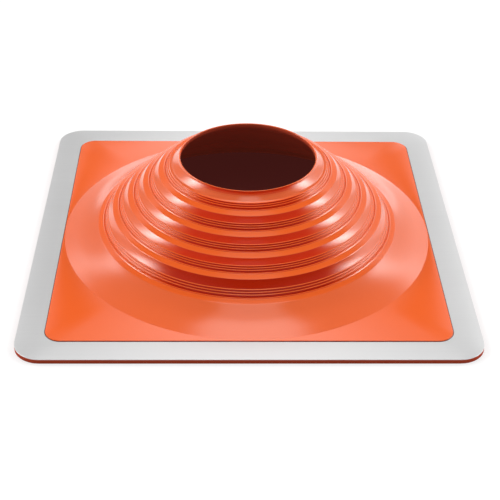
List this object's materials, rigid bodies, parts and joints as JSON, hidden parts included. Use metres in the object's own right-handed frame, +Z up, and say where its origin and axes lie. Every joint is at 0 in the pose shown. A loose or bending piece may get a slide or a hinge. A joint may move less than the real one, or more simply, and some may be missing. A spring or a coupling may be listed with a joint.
{
  "type": "pipe flashing boot",
  "caption": "Square-base roof flashing boot: stepped, ribbed hollow cone of silicone rubber that grips a pipe, with a soft aluminium sheet frame moulded into its base margin.",
  "frame": {"origin": "centre of the underside, on the axis of the pipe opening, where the base lies on the roof", "axes": "+Z up along the axis of the cone, out of the roof and through the pipe opening; +X and +Y along the sides of the square base"},
  "size_m": [0.44, 0.44, 0.0952],
  "materials": {
    "silicone_rubber": "satin red-orange silicone rubber, moulded",
    "soft_aluminium": "matt mill-finish soft aluminium sheet"
  },
  "bodies": {
    "root": {"rubber_boot": "silicone_rubber", "aluminium_frame": "soft_aluminium"}
  },
  "joints": []
}
